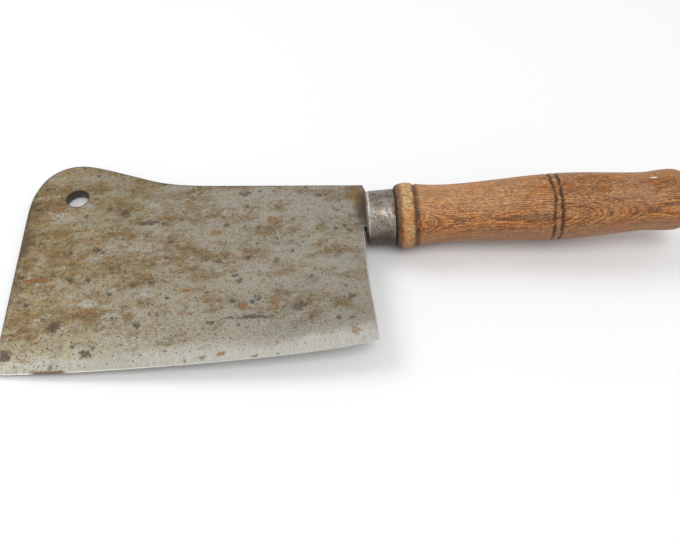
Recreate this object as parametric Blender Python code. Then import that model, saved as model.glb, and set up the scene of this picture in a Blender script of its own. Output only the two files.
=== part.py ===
"""Old meat cleaver: plate blade forged in one with its tang, drawn ferrule, turned handle.

Units are metres. Each piece is drawn on the tool's own axes: +X runs along the handle from the
ferrule's rear rim towards the butt, +Y runs from the cutting edge towards the spine, and Z = 0
is the blade's middle plane. An empty then lays the whole tool down as it rests on a table,
which is on the underside of the blade's far end and on the bead behind the ferrule.
"""

import math

import bmesh
import bpy
from mathutils import Matrix, Vector

GAP = 0.0003                     # clearance wherever two pieces meet

# Blade plate
TIP_X = -0.184                   # far end of the blade, square to the handle
HEEL_X = -0.0155                 # end of the blade beside the ferrule
HEEL_FLARE_X = -0.0138           # the heel widens a little on its way down
EDGE_HEEL = (-0.0132, -0.0739)   # cutting edge, at the heel
EDGE_TIP = (TIP_X, -0.0800)      # cutting edge, at the far end
CORNER_Y = 0.0138                # where the far end starts to round over
HUMP = (-0.1617, 0.0476)         # highest point of the raised corner
SWEEP = (-0.1232, 0.0339)        # middle of the slope from the hump down to the spine
SWEEP_SLOPE = -0.42
SPINE_START = (-0.0871, 0.0270)
SPINE_END = (-0.0143, 0.0212)
SPINE_SLOPE = -0.078
SHOULDER = (-0.0121, 0.0134)     # foot of the chamfer that ends the spine
HEEL_STRAIGHT_Y = -0.030         # the heel is square to the handle down to here
SPINE_THICKNESS = 0.0046         # plate thickness at SPINE_Y
SPINE_Y = 0.024
TAPER = 0.0163                   # thickness lost per metre towards the cutting edge
BEVEL_HEIGHT = 0.012
BEVEL_CURVE = 1.5                # 1 is a flat bevel, more is fuller behind the edge
BEVEL_ROWS = 3
EDGE_HALF = 0.00015              # half the thickness left at the blunt old edge
EDGE_STEPS = 28

# Hanging hole
HOLE_AT = (-0.1599, 0.0240)
HOLE_RADIUS = 0.0058
HOLE_SIDES = 48

# Tang, one piece with the blade
ROOT_TOP = 0.0116                # upper side of the wide root, inside the ferrule's mouth
ROOT_BOTTOM = -0.0072
ROOT_END_X = -0.0116
TANG_TOP = 0.0060                # the tang tapers from here
TANG_BOTTOM = -0.0050
TANG_WAIST_X = 0.100             # to an even strip from here to the butt
TANG_HALF = 0.0030
PEEN_RADIUS = 0.0046
PEEN_HEIGHT = 0.0019

# Ferrule, a drawn cup with a slot for the tang
FERRULE_FRONT = -0.0140
FERRULE_R_FRONT = 0.0134
FERRULE_R_REAR = 0.0138
FERRULE_WALL = 0.0012
FERRULE_SHOULDER = 0.0020
FERRULE_SLOT_END = -0.0116

# Turned handle
TENON_FRONT = -0.0104
BEAD_FRONT_R = 0.0139
BEAD = (0.0061, 0.0164)          # fullest point of the bead, which touches the table
BEAD_GROOVE_X = 0.0101
BEAD_GROOVE_R = 0.0151
GROOVE_LIP_R = 0.0157
GROOVE_HALF_WIDTH = 0.0006
WAIST = (0.028, 0.01436)
BULGE = (0.082, 0.0166)
NECK = (0.124, 0.0145)
POMMEL = (0.1365, 0.0153)
BUTT_X = 0.1455
BUTT_FACE_R = 0.0098
RINGS_X = (0.0767, 0.0804)       # two narrow rings burnt in beside the bulge
RING_HALF_WIDTH = 0.0006
RING_DEPTH = 0.0004
BORE_R = 0.0080
BORE_END = 0.1003
DRILL_R = 0.0046                 # the narrower bore from BORE_END to the butt
WOOD_SIDES = 48

# Riveting washer, let into the butt
WASHER_R = 0.0080
WASHER_HOLE_R = 0.0040
WASHER_THICKNESS = 0.0015
WASHER_RECESS = 0.0012

METAL_SIDES = 48


def clear_scene():
    for thing in list(bpy.data.objects):
        bpy.data.objects.remove(thing, do_unlink=True)


def bezier(start, start_handle, end_handle, end, steps):
    """Points of a cubic curve after its start, up to and with its end."""
    points = []
    for i in range(1, steps + 1):
        t = i / steps
        weights = ((1 - t) ** 3, 3 * (1 - t) ** 2 * t, 3 * (1 - t) * t ** 2, t ** 3)
        corners = (start, start_handle, end_handle, end)
        points.append(tuple(sum(w * c[k] for w, c in zip(weights, corners)) for k in (0, 1)))
    return points


def along(point, slope, distance):
    """The point that lies a distance away on a line of that slope."""
    length = math.hypot(1, slope)
    return (point[0] + distance / length, point[1] + distance * slope / length)


def principled(name, colour, roughness, metallic):
    material = bpy.data.materials.new(name)
    material.use_nodes = True
    shader = material.node_tree.nodes["Principled BSDF"]
    shader.inputs["Base Color"].default_value = (*colour, 1)
    shader.inputs["Roughness"].default_value = roughness
    shader.inputs["Metallic"].default_value = metallic
    return material


def add_object(name, bm, parent, material=None, sharp_degrees=30):
    """Turns a closed bmesh into an object with its faces pointing out."""
    bmesh.ops.recalc_face_normals(bm, faces=bm.faces)
    mesh = bpy.data.meshes.new(name)
    bm.to_mesh(mesh)
    bm.free()
    mesh.shade_smooth()
    mesh.set_sharp_from_angle(angle=math.radians(sharp_degrees))
    if material:
        mesh.materials.append(material)
    thing = bpy.data.objects.new(name, mesh)
    bpy.context.scene.collection.objects.link(thing)
    thing.parent = parent
    return thing


def add_boolean(target, tool, operation):
    """Cuts or joins a hidden helper into the target."""
    tool.hide_render = True
    tool.display_type = "WIRE"
    modifier = target.modifiers.new(tool.name, "BOOLEAN")
    modifier.operation = operation
    modifier.solver = "EXACT"
    modifier.object = tool


def turned_bmesh(profile, sides, closed):
    """Spins (x, radius) points round the X axis. An open profile starts and ends on the axis."""
    bm = bmesh.new()
    rings = []
    for x, radius in profile:
        if radius == 0:
            rings.append([bm.verts.new((x, 0, 0))] * sides)
            continue
        angles = [2 * math.pi * k / sides for k in range(sides)]
        rings.append([bm.verts.new((x, radius * math.sin(a), -radius * math.cos(a))) for a in angles])
    pairs = list(zip(rings, rings[1:]))
    if closed:
        pairs.append((rings[-1], rings[0]))
    for ring, following in pairs:
        for k in range(sides):
            n = (k + 1) % sides
            corners = (ring[k], ring[n], following[n], following[k])
            bm.faces.new(list(dict.fromkeys(corners)))
    return bm


def prism_bmesh(outline, half_depth):
    """An (x, y) outline given depth both ways along Z."""
    bm = bmesh.new()
    lower = [bm.verts.new((x, y, -half_depth)) for x, y in outline]
    upper = [bm.verts.new((x, y, half_depth)) for x, y in outline]
    bm.faces.new(lower[::-1])
    bm.faces.new(upper)
    for k in range(len(outline)):
        n = (k + 1) % len(outline)
        bm.faces.new((lower[k], lower[n], upper[n], upper[k]))
    return bm


def plate_half(y):
    """Half the plate's thickness. It thins evenly from the spine towards the edge."""
    return (SPINE_THICKNESS + (y - SPINE_Y) * TAPER) / 2


def cutting_edge():
    """The edge from heel to far end, a long shallow belly."""
    heel_handle = (EDGE_HEEL[0] - 0.0264, EDGE_HEEL[1] - 0.0079)
    tip_handle = (EDGE_TIP[0] + 0.0276, EDGE_TIP[1] - 0.0028)
    return [EDGE_HEEL] + bezier(EDGE_HEEL, heel_handle, tip_handle, EDGE_TIP, EDGE_STEPS)


def bevel_points(edge):
    """Rows of (x, y, half thickness), from where the bevel starts down to the edge itself."""
    rows = []
    for row in range(BEVEL_ROWS + 1):
        s = row / BEVEL_ROWS
        points = []
        for i, (x, y) in enumerate(edge):
            heel_share = 1 - i / EDGE_STEPS
            start_x = x + (HEEL_FLARE_X - EDGE_HEEL[0]) * heel_share
            start_y = y + BEVEL_HEIGHT
            start_half = plate_half(start_y)
            half = EDGE_HALF + (start_half - EDGE_HALF) * (1 - s ** BEVEL_CURVE)
            points.append((start_x + (x - start_x) * s, start_y + (y - start_y) * s, half))
        rows.append(points)
    return rows


def tang_outline(clearance=0.0):
    """The tang's upper side from its root to the butt, then its lower side back."""
    end_x = BUTT_X + WASHER_THICKNESS
    return [
        (ROOT_END_X, TANG_TOP + clearance),
        (TANG_WAIST_X, TANG_HALF + clearance),
        (end_x, TANG_HALF + clearance),
        (end_x, -TANG_HALF - clearance),
        (TANG_WAIST_X, -TANG_HALF - clearance),
        (ROOT_END_X, TANG_BOTTOM - clearance),
    ]


def plate_outline(start, end):
    """From the bevel at the far end, over hump, spine and tang, to the bevel at the heel."""
    corner = (TIP_X, CORNER_Y)
    points = [start, corner]
    points += bezier(corner, (TIP_X, CORNER_Y + 0.0247), (HUMP[0] - 0.012, HUMP[1]), HUMP, 14)
    points += bezier(HUMP, (HUMP[0] + 0.0072, HUMP[1]), along(SWEEP, SWEEP_SLOPE, -0.0244), SWEEP, 10)
    points += bezier(SWEEP, along(SWEEP, SWEEP_SLOPE, 0.0098),
                     along(SPINE_START, SPINE_SLOPE, -0.0159), SPINE_START, 8)
    points += [SPINE_END, SHOULDER, (SHOULDER[0], ROOT_TOP), (ROOT_END_X, ROOT_TOP)]
    points += tang_outline()
    points += [(ROOT_END_X, ROOT_BOTTOM), (HEEL_X, ROOT_BOTTOM)]
    heel = (HEEL_X, HEEL_STRAIGHT_Y)
    points.append(heel)
    points += bezier(heel, (HEEL_X, HEEL_STRAIGHT_Y - 0.012), (-0.0144, -0.052), end, 6)
    return points


def blade_bmesh():
    """A flat-sided plate, then rows of bevel, mirrored about the middle plane."""
    rows = bevel_points(cutting_edge())
    bevel_start = rows[0]
    heel_start, tip_start = bevel_start[0], bevel_start[-1]
    outline = plate_outline(tip_start[:2], heel_start[:2])
    bm = bmesh.new()
    sides = {}
    for sign in (1, -1):
        plate = [bm.verts.new((x, y, sign * plate_half(y))) for x, y in outline]
        bevel = [[bm.verts.new((x, y, sign * half)) for x, y, half in row] for row in rows[1:]]
        start_row = [plate[-1]]
        start_row += [bm.verts.new((x, y, sign * half)) for x, y, half in bevel_start[1:-1]]
        start_row += [plate[0]]
        bm.faces.new(plate + start_row[1:-1])
        bevel = [start_row] + bevel
        for upper, lower in zip(bevel, bevel[1:]):
            for i in range(EDGE_STEPS):
                bm.faces.new((upper[i], upper[i + 1], lower[i + 1], lower[i]))
        rim = plate + [row[0] for row in bevel[1:-1]] + bevel[-1]
        rim += [row[-1] for row in reversed(bevel[1:-1])]
        sides[sign] = rim
    for k in range(len(sides[1])):
        n = (k + 1) % len(sides[1])
        bm.faces.new((sides[1][k], sides[1][n], sides[-1][n], sides[-1][k]))
    return bm


def add_blade(parent):
    steel = principled("blade_steel", (0.27, 0.25, 0.21), 0.48, 0.85)
    blade = add_object("blade", blade_bmesh(), parent, steel, sharp_degrees=12)
    hole = add_object("hole_cutter", turned_bmesh(
        [(-0.01, 0), (-0.01, HOLE_RADIUS), (0.01, HOLE_RADIUS), (0.01, 0)], HOLE_SIDES, False), parent)
    hole.rotation_euler = (0, math.pi / 2, 0)
    hole.location = (*HOLE_AT, 0)
    add_boolean(blade, hole, "DIFFERENCE")
    base_x = BUTT_X - WASHER_RECESS + GAP + WASHER_THICKNESS + GAP
    profile = [(base_x, 0), (base_x, PEEN_RADIUS)]
    for step in range(1, 6):
        angle = math.pi / 2 * step / 6
        profile.append((base_x + PEEN_HEIGHT * math.sin(angle), PEEN_RADIUS * math.cos(angle)))
    profile.append((base_x + PEEN_HEIGHT, 0))
    peen = add_object("peened_end", turned_bmesh(profile, 32, False), parent)
    add_boolean(blade, peen, "UNION")
    return blade


def add_ferrule(parent):
    steel = principled("ferrule_steel", (0.20, 0.17, 0.14), 0.42, 0.85)
    shoulder = []
    for step in range(7):
        angle = math.pi / 2 * step / 6
        shoulder.append((
            FERRULE_FRONT + FERRULE_SHOULDER * (1 - math.sin(angle)),
            FERRULE_R_FRONT - FERRULE_SHOULDER * (1 - math.cos(angle)),
        ))
    inner_r = FERRULE_R_FRONT - FERRULE_WALL
    profile = [(FERRULE_FRONT, 0)] + shoulder[::-1]
    profile += [(0, FERRULE_R_REAR), (0, inner_r)]
    profile += [(FERRULE_FRONT + FERRULE_WALL, inner_r), (FERRULE_FRONT + FERRULE_WALL, 0)]
    ferrule = add_object("ferrule", turned_bmesh(profile, METAL_SIDES, False), parent, steel)
    slot_front = FERRULE_FRONT - 0.002
    slot_top = FERRULE_R_REAR + 0.002
    slot = [(slot_front, ROOT_BOTTOM - GAP), (FERRULE_SLOT_END, ROOT_BOTTOM - GAP),
            (FERRULE_SLOT_END, slot_top), (slot_front, slot_top)]
    cutter = add_object("slot_cutter", prism_bmesh(slot, SPINE_THICKNESS / 2 + GAP), parent)
    add_boolean(ferrule, cutter, "DIFFERENCE")
    return ferrule


def groove(x, half_width, lip, bottom):
    return [(x - half_width, lip), (x, bottom), (x + half_width, lip)]


def bulge_curve():
    """The grip's outline from waist over the bulge to the neck, with the two burnt rings."""
    rise = bezier(WAIST, (0.045, WAIST[1]), (0.066, BULGE[1]), BULGE, 8)
    fall = bezier(BULGE, (0.098, BULGE[1]), (0.114, NECK[1]), NECK, 7)
    plain = [p for p in rise if p[0] < RINGS_X[0] - 2 * RING_HALF_WIDTH]
    rings = []
    for x in RINGS_X:
        share = (x - WAIST[0]) / (BULGE[0] - WAIST[0])
        surface = WAIST[1] + (BULGE[1] - WAIST[1]) * math.sin(math.pi / 2 * share) ** 2
        rings += groove(x, RING_HALF_WIDTH, surface, surface - RING_DEPTH)
    return plain + rings + [BULGE] + fall


def handle_profile():
    """Outside from the tenon to the butt, then back through the washer's recess and the bore."""
    front_x = GAP
    tenon_r = FERRULE_R_FRONT - FERRULE_WALL - GAP
    points = [(TENON_FRONT, tenon_r), (front_x, tenon_r), (front_x, BEAD_FRONT_R)]
    points += bezier(points[-1], (0.0006, 0.0157), (0.0032, BEAD[1]), BEAD, 6)
    lip_x = BEAD_GROOVE_X - GROOVE_HALF_WIDTH
    points += bezier(BEAD, (0.0078, BEAD[1]), (0.0091, 0.0162), (lip_x, GROOVE_LIP_R), 4)
    points += groove(BEAD_GROOVE_X, GROOVE_HALF_WIDTH, GROOVE_LIP_R, BEAD_GROOVE_R)[1:]
    points += bezier(points[-1], (0.0145, 0.0149), (0.020, WAIST[1]), WAIST, 5)
    points += bulge_curve()
    points += bezier(NECK, (0.128, NECK[1]), (0.133, POMMEL[1]), POMMEL, 4)
    butt_edge = (BUTT_X, BUTT_FACE_R)
    points += bezier(POMMEL, (0.1413, POMMEL[1]), (BUTT_X, 0.0137), butt_edge, 7)
    recess_x = BUTT_X - WASHER_RECESS
    points += [(BUTT_X, WASHER_R + GAP), (recess_x, WASHER_R + GAP), (recess_x, DRILL_R)]
    points += [(BORE_END, DRILL_R), (BORE_END, BORE_R), (TENON_FRONT, BORE_R)]
    return points


def add_handle(parent):
    wood = principled("handle_wood", (0.34, 0.17, 0.07), 0.55, 0.0)
    return add_object("handle", turned_bmesh(handle_profile(), WOOD_SIDES, True), parent, wood)


def add_tang_cement(parent):
    """Dark pitch that fills the bore round the tang, as a plug with the tang's shape cut out."""
    pitch = principled("cutler_pitch", (0.03, 0.02, 0.015), 0.7, 0.0)
    front, rear = TENON_FRONT, BORE_END - GAP
    radius = BORE_R - GAP
    profile = [(front, 0), (front, radius), (rear, radius), (rear, 0)]
    plug = add_object("tang_cement", turned_bmesh(profile, METAL_SIDES, False), parent, pitch)
    tang_thickness = 2 * plate_half(TANG_TOP)
    shape = prism_bmesh(tang_outline(GAP), tang_thickness / 2 + GAP)
    add_boolean(plug, add_object("tang_cutter", shape, parent), "DIFFERENCE")
    return plug


def add_washer(parent):
    steel = principled("washer_steel", (0.22, 0.18, 0.15), 0.5, 0.85)
    front = BUTT_X - WASHER_RECESS + GAP
    rear = front + WASHER_THICKNESS
    bevel = 0.0003
    profile = [(front, WASHER_HOLE_R), (front, WASHER_R), (rear - bevel, WASHER_R),
               (rear, WASHER_R - bevel), (rear, WASHER_HOLE_R)]
    return add_object("butt_washer", turned_bmesh(profile, METAL_SIDES, True), parent, steel)


def lying_rotation():
    """Turns the tool so that the far end's underside and the bead rest on one level plane."""
    low_y = EDGE_TIP[1] + BEVEL_HEIGHT
    low_z, high_z = -plate_half(low_y), -plate_half(CORNER_Y)
    across = -(high_z - low_z) / (CORNER_Y - low_y)
    lift = across * low_y + low_z + BEAD[1] * math.hypot(across, 1)
    up = Vector((lift / (BEAD[0] - TIP_X), across, 1)).normalized()
    forward = (Vector((1, 0, 0)) - up * up.x).normalized()
    return Matrix((forward, up.cross(forward), up)).to_4x4()


def lay_down(root, pieces):
    """Stands the tool's box on Z = 0 with its centre over the origin."""
    root.matrix_world = lying_rotation()
    bpy.context.view_layer.update()
    graph = bpy.context.evaluated_depsgraph_get()
    corners = []
    for piece in pieces:
        evaluated = piece.evaluated_get(graph)
        corners += [evaluated.matrix_world @ v.co for v in evaluated.data.vertices]
    low = [min(c[k] for c in corners) for k in range(3)]
    high = [max(c[k] for c in corners) for k in range(3)]
    root.location = (-(low[0] + high[0]) / 2, -(low[1] + high[1]) / 2, -low[2])


def main():
    clear_scene()
    root = bpy.data.objects.new("lying_pose", None)
    bpy.context.scene.collection.objects.link(root)
    pieces = [
        add_blade(root),
        add_ferrule(root),
        add_handle(root),
        add_tang_cement(root),
        add_washer(root),
    ]
    lay_down(root, pieces)


main()
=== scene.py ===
"""Looks of the old meat cleaver: a stained, pitted blade, a tarnished ferrule and a worn handle.

Units are metres. Meshes are drawn on the tool's own axes (+X from the ferrule's rear rim to the
butt, +Y from the cutting edge to the spine, Z = 0 in the middle of the blade) and then laid down
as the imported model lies. Each mesh keeps its tool coordinates in the attribute "tool_place",
which is what its material reads, so stains and grain stay where they are on the tool.
"""

import bisect
import math
import random

import bmesh
import bpy
from mathutils import Matrix, Vector, noise
from mathutils.geometry import delaunay_2d_cdt


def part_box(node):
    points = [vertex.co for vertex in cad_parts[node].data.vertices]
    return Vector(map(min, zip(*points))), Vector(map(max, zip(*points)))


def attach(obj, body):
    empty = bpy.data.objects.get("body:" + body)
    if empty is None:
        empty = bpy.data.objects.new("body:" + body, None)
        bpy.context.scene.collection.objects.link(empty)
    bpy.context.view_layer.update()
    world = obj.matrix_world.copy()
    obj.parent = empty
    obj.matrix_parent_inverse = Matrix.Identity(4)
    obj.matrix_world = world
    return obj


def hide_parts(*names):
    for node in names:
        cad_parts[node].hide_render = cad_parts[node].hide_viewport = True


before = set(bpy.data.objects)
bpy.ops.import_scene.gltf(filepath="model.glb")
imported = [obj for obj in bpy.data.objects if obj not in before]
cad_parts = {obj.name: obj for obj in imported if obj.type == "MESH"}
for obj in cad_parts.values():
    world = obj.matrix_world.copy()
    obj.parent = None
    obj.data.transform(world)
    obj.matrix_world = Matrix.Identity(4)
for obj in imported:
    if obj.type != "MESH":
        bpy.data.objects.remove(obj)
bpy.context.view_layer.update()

# -------- the tool's dimensions
TIP_X = -0.184
HEEL_X = -0.0155
HEEL_FLARE_X = -0.0138
EDGE_HEEL = (-0.0132, -0.0739)
EDGE_TIP = (TIP_X, -0.0800)
CORNER_Y = 0.0138
HUMP = (-0.1617, 0.0476)
SWEEP = (-0.1232, 0.0339)
SWEEP_SLOPE = -0.42
SPINE_START = (-0.0871, 0.0270)
SPINE_END = (-0.0143, 0.0212)
SPINE_SLOPE = -0.078
SHOULDER = (-0.0121, 0.0134)
HEEL_STRAIGHT_Y = -0.030
SPINE_THICKNESS = 0.0046
SPINE_Y = 0.024            # where the blade is that thick
TAPER = 0.0163             # thickness gained per metre of height
BEVEL_HEIGHT = 0.012
BEVEL_CURVE = 1.5          # 1 would be a flat bevel
EDGE_HALF = 0.00015        # half the thickness left at the edge
HOLE_AT = (-0.1599, 0.0240)
HOLE_RADIUS = 0.0058
ROOT_TOP = 0.0116
ROOT_BOTTOM = -0.0072
ROOT_END_X = -0.0116
TANG_TOP = 0.0060
TANG_BOTTOM = -0.0050
TANG_WAIST_X = 0.100
TANG_HALF = 0.0030
PEEN_RADIUS = 0.0046
PEEN_HEIGHT = 0.0019
GAP = 0.0003

FERRULE_FRONT = -0.0140
FERRULE_R_FRONT = 0.0134
FERRULE_R_REAR = 0.0138
FERRULE_WALL = 0.0012
FERRULE_SHOULDER = 0.0020
FERRULE_LIP = 0.00035
FERRULE_INNER_R = FERRULE_R_FRONT - FERRULE_WALL
FERRULE_SLOT_END = -0.0116

TENON_FRONT = -0.0104
TENON_R = FERRULE_INNER_R - GAP
BEAD_FRONT_R = 0.0139
BEAD = (0.0061, 0.0164)
BEAD_GROOVE_X = 0.0101
BEAD_GROOVE_DEPTH = 0.0007
GROOVE_LIP_R = 0.0158
WAIST = (0.028, 0.01436)
BULGE = (0.082, 0.0166)
NECK = (0.124, 0.0145)
POMMEL = (0.1365, 0.0153)
BUTT_X = 0.1455
BUTT_FACE_R = 0.0098
RINGS_X = (0.0767, 0.0804)
RING_DEPTH = 0.00045
BORE_R = 0.0080
BORE_END = 0.1003
DRILL_R = 0.0046
WASHER_R = 0.0080
WASHER_HOLE_R = 0.0040
WASHER_THICKNESS = 0.0015
WASHER_RECESS = 0.0012
WASHER_FRONT = BUTT_X - WASHER_RECESS + GAP
WASHER_REAR = WASHER_FRONT + WASHER_THICKNESS

# -------- stains that stand out
# Each kind has smaller stains at random (seed, how many, smallest and largest half height) and the
# largest ones listed one by one (x, y, half length, half height), in millimetres on the tool's axes.
STAINS = {
    "dark_mark": ((12, 50, 0.8, 1.9), (
        (-160, -57, 3.4, 3.4), (-180, -71, 3.0, 3.0), (-144, -73, 3.0, 2.2), (-70, -58, 12.0, 1.5),
        (-48, -53, 3.4, 3.0), (-24, -62, 2.6, 0.9), (-122, 4, 5.5, 1.8), (-135, 11, 2.8, 2.8),
        (-74, 20, 4.2, 2.2), (-36, 16, 3.6, 1.6), (-146, -12, 2.6, 1.7), (-28, 5, 2.0, 1.2),
    )),
    "rust_mark": ((8, 16, 0.9, 1.8), (
        (-74, -52, 3.2, 2.6), (-60, -52, 2.6, 4.4), (-23, -69, 2.8, 2.4), (-84, -77, 3.0, 1.6),
        (-60, 2, 4.0, 1.6), (-88, -5, 4.4, 1.8), (-19, 15, 3.4, 4.6), (-169, 16, 4.6, 2.0),
        (-146, -49, 5.4, 2.0), (-173, -29, 7.0, 2.0), (-92, -78, 2.6, 1.0), (-69, -79, 2.0, 1.0),
    )),
    "brown_mark": ((3, 20, 1.8, 3.4), (
        (-93, 16, 4.0, 3.6), (-32, -52, 7.0, 4.0), (-172, 2, 6.0, 3.6), (-150, -53, 12.0, 2.4),
        (-175, -48, 9.0, 3.0), (-181, -4, 4.0, 20.0), (-66, -6, 8.0, 5.0), (-36, -22, 9.0, 3.4),
        (-96, -48, 14.0, 2.6), (-128, -3, 8.0, 3.0),
    )),
}
EDGE_RUST = (-0.167, -0.152)         # stretch of the cutting edge that has rusted


def all_stains(scatter, placed):
    """The listed stains and the scattered ones, in metres."""
    stains = [tuple(value / 1000 for value in stain) for stain in placed]
    seed, count, smallest, biggest = scatter
    chance = random.Random(seed)
    for _ in range(count):
        half_height = chance.uniform(smallest, biggest) / 1000
        x = chance.uniform(TIP_X, HEEL_X)
        y = chance.uniform(EDGE_HEEL[1] + BEVEL_HEIGHT, HUMP[1])
        stains.append((x, y, half_height * chance.uniform(0.9, 1.5), half_height))
    return stains


# -------- curves and small helpers
def bezier(start, start_handle, end_handle, end, steps):
    """Points of a cubic curve after its start, up to and with its end."""
    points = []
    for i in range(1, steps + 1):
        t = i / steps
        weights = ((1 - t) ** 3, 3 * (1 - t) ** 2 * t, 3 * (1 - t) * t ** 2, t ** 3)
        corners = (start, start_handle, end_handle, end)
        points.append(tuple(sum(w * c[k] for w, c in zip(weights, corners)) for k in (0, 1)))
    return points


def along(point, slope, distance):
    """The place at that distance from the point, on a line of that slope."""
    length = math.hypot(1, slope)
    return (point[0] + distance / length, point[1] + distance * slope / length)


def resampled(points, spacing):
    """The same open line with extra points, so that none are further apart than spacing(x)."""
    out = [points[0]]
    for a, b in zip(points, points[1:]):
        length = math.dist(a, b)
        count = max(1, math.ceil(length / spacing((a[0] + b[0]) / 2) - 1e-6))
        for k in range(1, count + 1):
            share = k / count
            out.append((a[0] + (b[0] - a[0]) * share, a[1] + (b[1] - a[1]) * share))
    return out


def smoothstep(low, high, value):
    """0 up to low, 1 from high, and an even curve between them."""
    t = min(1.0, max(0.0, (value - low) / (high - low)))
    return t * t * (3 - 2 * t)


def plate_half(y):
    """Half the plate's thickness over the bevel."""
    return (SPINE_THICKNESS + (y - SPINE_Y) * TAPER) / 2


def lying_rotation():
    """The turn that rests the far end's underside and the bead on one level plane."""
    low_y = EDGE_TIP[1] + BEVEL_HEIGHT
    low_z, high_z = -plate_half(low_y), -plate_half(CORNER_Y)
    across = -(high_z - low_z) / (CORNER_Y - low_y)
    lift = across * low_y + low_z + BEAD[1] * math.hypot(across, 1)
    up = Vector((lift / (BEAD[0] - TIP_X), across, 1)).normalized()
    forward = (Vector((1, 0, 0)) - up * up.x).normalized()
    return Matrix((forward, up.cross(forward), up))


def tool_to_frame():
    """Tool axes to the row's frame. The washer is a plain ring, so its box is centred on the axis."""
    turn = lying_rotation()
    low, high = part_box("butt_washer")
    washer_middle = Vector(((WASHER_FRONT + WASHER_REAR) / 2, 0, 0))
    return Matrix.Translation((low + high) / 2 - turn @ washer_middle) @ turn.to_4x4()


TOOL_TO_FRAME = tool_to_frame()


def finish_piece(name, mesh, material, nodes, sharp_degrees=38):
    """Stores tool coordinates, lays the mesh down, and hands the piece to the frame."""
    attribute = mesh.attributes.new("tool_place", "FLOAT_VECTOR", "POINT")
    coordinates = [value for vertex in mesh.vertices for value in vertex.co]
    attribute.data.foreach_set("vector", coordinates)
    mesh.transform(TOOL_TO_FRAME)
    mesh.shade_smooth()
    mesh.set_sharp_from_angle(angle=math.radians(sharp_degrees))
    mesh.materials.append(material)
    piece = bpy.data.objects.new(name, mesh)
    bpy.context.scene.collection.objects.link(piece)
    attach(piece, "root")
    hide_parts(*nodes)


def mesh_from_bmesh(name, bm):
    bmesh.ops.recalc_face_normals(bm, faces=bm.faces)
    mesh = bpy.data.meshes.new(name)
    bm.to_mesh(mesh)
    bm.free()
    return mesh


# -------- blade mesh
GRID = 0.00105                    # spacing of the points over the flats
GRID_ROW = 0.866                  # spacing of their rows, in points
RIM_RADIUS = 0.0004               # worn roundness of the outer rim
RIM_FADE = 0.0009                 # how far in from a rim its painted shade reaches
HOLE_RIM_RADIUS = 0.00012
HOLE_CLEAR = 0.0006
RING_STEPS = (0.3, 1.0, 2.4)      # rings of points next to a rim, in rim radii
OUTLINE_SPACING = 0.0009
EDGE_SPACING = 0.0006
TANG_SPACING = 0.004
HOLE_POINTS = 72
NICKS = 17
NICK_WIDTHS = (0.0003, 0.0009)
NICK_DEPTHS = (0.00005, 0.00028)
NICK_CLEAR = 0.004                # the edge's two ends have no nicks
EDGE_WAVE = 0.00007
GRIND_WAVE = 0.00005
PIT_DEPTH = 0.00022
CRATER_DEPTH = 0.0003
RELIEF_FULL = 0.0009              # half thickness over the edge's at which waves and pits are full
STAIN_REACH = 1.7                 # how far a stain fades out, in half sizes
UNDERSIDE_MIRROR = -0.2           # a stain at x lies at this less x on the underside


def edge_line():
    """The cutting edge from heel to far end, with the small nicks of long use."""
    heel_handle = (EDGE_HEEL[0] - 0.0264, EDGE_HEEL[1] - 0.0079)
    tip_handle = (EDGE_TIP[0] + 0.0276, EDGE_TIP[1] - 0.0028)
    line = [EDGE_HEEL] + bezier(EDGE_HEEL, heel_handle, tip_handle, EDGE_TIP, 60)
    chance = random.Random(11)
    nicks = []
    for _ in range(NICKS):
        nicks.append((chance.uniform(TIP_X + NICK_CLEAR, EDGE_HEEL[0] - NICK_CLEAR),
                      chance.uniform(*NICK_WIDTHS), chance.uniform(*NICK_DEPTHS)))
    out = []
    for x, y in resampled(line, lambda _: EDGE_SPACING):
        lift = sum(depth * math.exp(-((x - at) / width) ** 2) for at, width, depth in nicks)
        wave = EDGE_WAVE * noise.noise(Vector((x * 130, 4.2, 0)))
        out.append((x, y + lift + wave))
    return out


def upper_line():
    """From the far end's lower corner over hump, spine and tang to the heel's lower corner."""
    corner = (TIP_X, CORNER_Y)
    points = [EDGE_TIP, corner]
    points += bezier(corner, (TIP_X, CORNER_Y + 0.0247), (HUMP[0] - 0.012, HUMP[1]), HUMP, 40)
    points += bezier(HUMP, (HUMP[0] + 0.0072, HUMP[1]), along(SWEEP, SWEEP_SLOPE, -0.0244), SWEEP, 40)
    points += bezier(SWEEP, along(SWEEP, SWEEP_SLOPE, 0.0098),
                     along(SPINE_START, SPINE_SLOPE, -0.0159), SPINE_START, 36)
    points += [SPINE_END, SHOULDER, (SHOULDER[0], ROOT_TOP), (ROOT_END_X, ROOT_TOP)]
    tang_end_x = WASHER_REAR + 2 * GAP
    points += [(ROOT_END_X, TANG_TOP), (TANG_WAIST_X, TANG_HALF), (tang_end_x, TANG_HALF),
               (tang_end_x, -TANG_HALF), (TANG_WAIST_X, -TANG_HALF), (ROOT_END_X, TANG_BOTTOM),
               (ROOT_END_X, ROOT_BOTTOM), (HEEL_X, ROOT_BOTTOM)]
    heel, flare = (HEEL_X, HEEL_STRAIGHT_Y), (HEEL_FLARE_X, EDGE_HEEL[1] + BEVEL_HEIGHT)
    points.append(heel)
    points += bezier(heel, (HEEL_X, HEEL_STRAIGHT_Y - 0.012), (-0.0144, -0.052), flare, 16)
    points.append(EDGE_HEEL)
    return resampled(points, lambda x: TANG_SPACING if x > ROOT_END_X else OUTLINE_SPACING)


def blade_outline():
    """The closed outline, anticlockwise as seen from above, and how many points are edge."""
    edge = edge_line()
    upper = upper_line()
    return edge[::-1] + upper[::-1][1:-1], len(edge)


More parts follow.
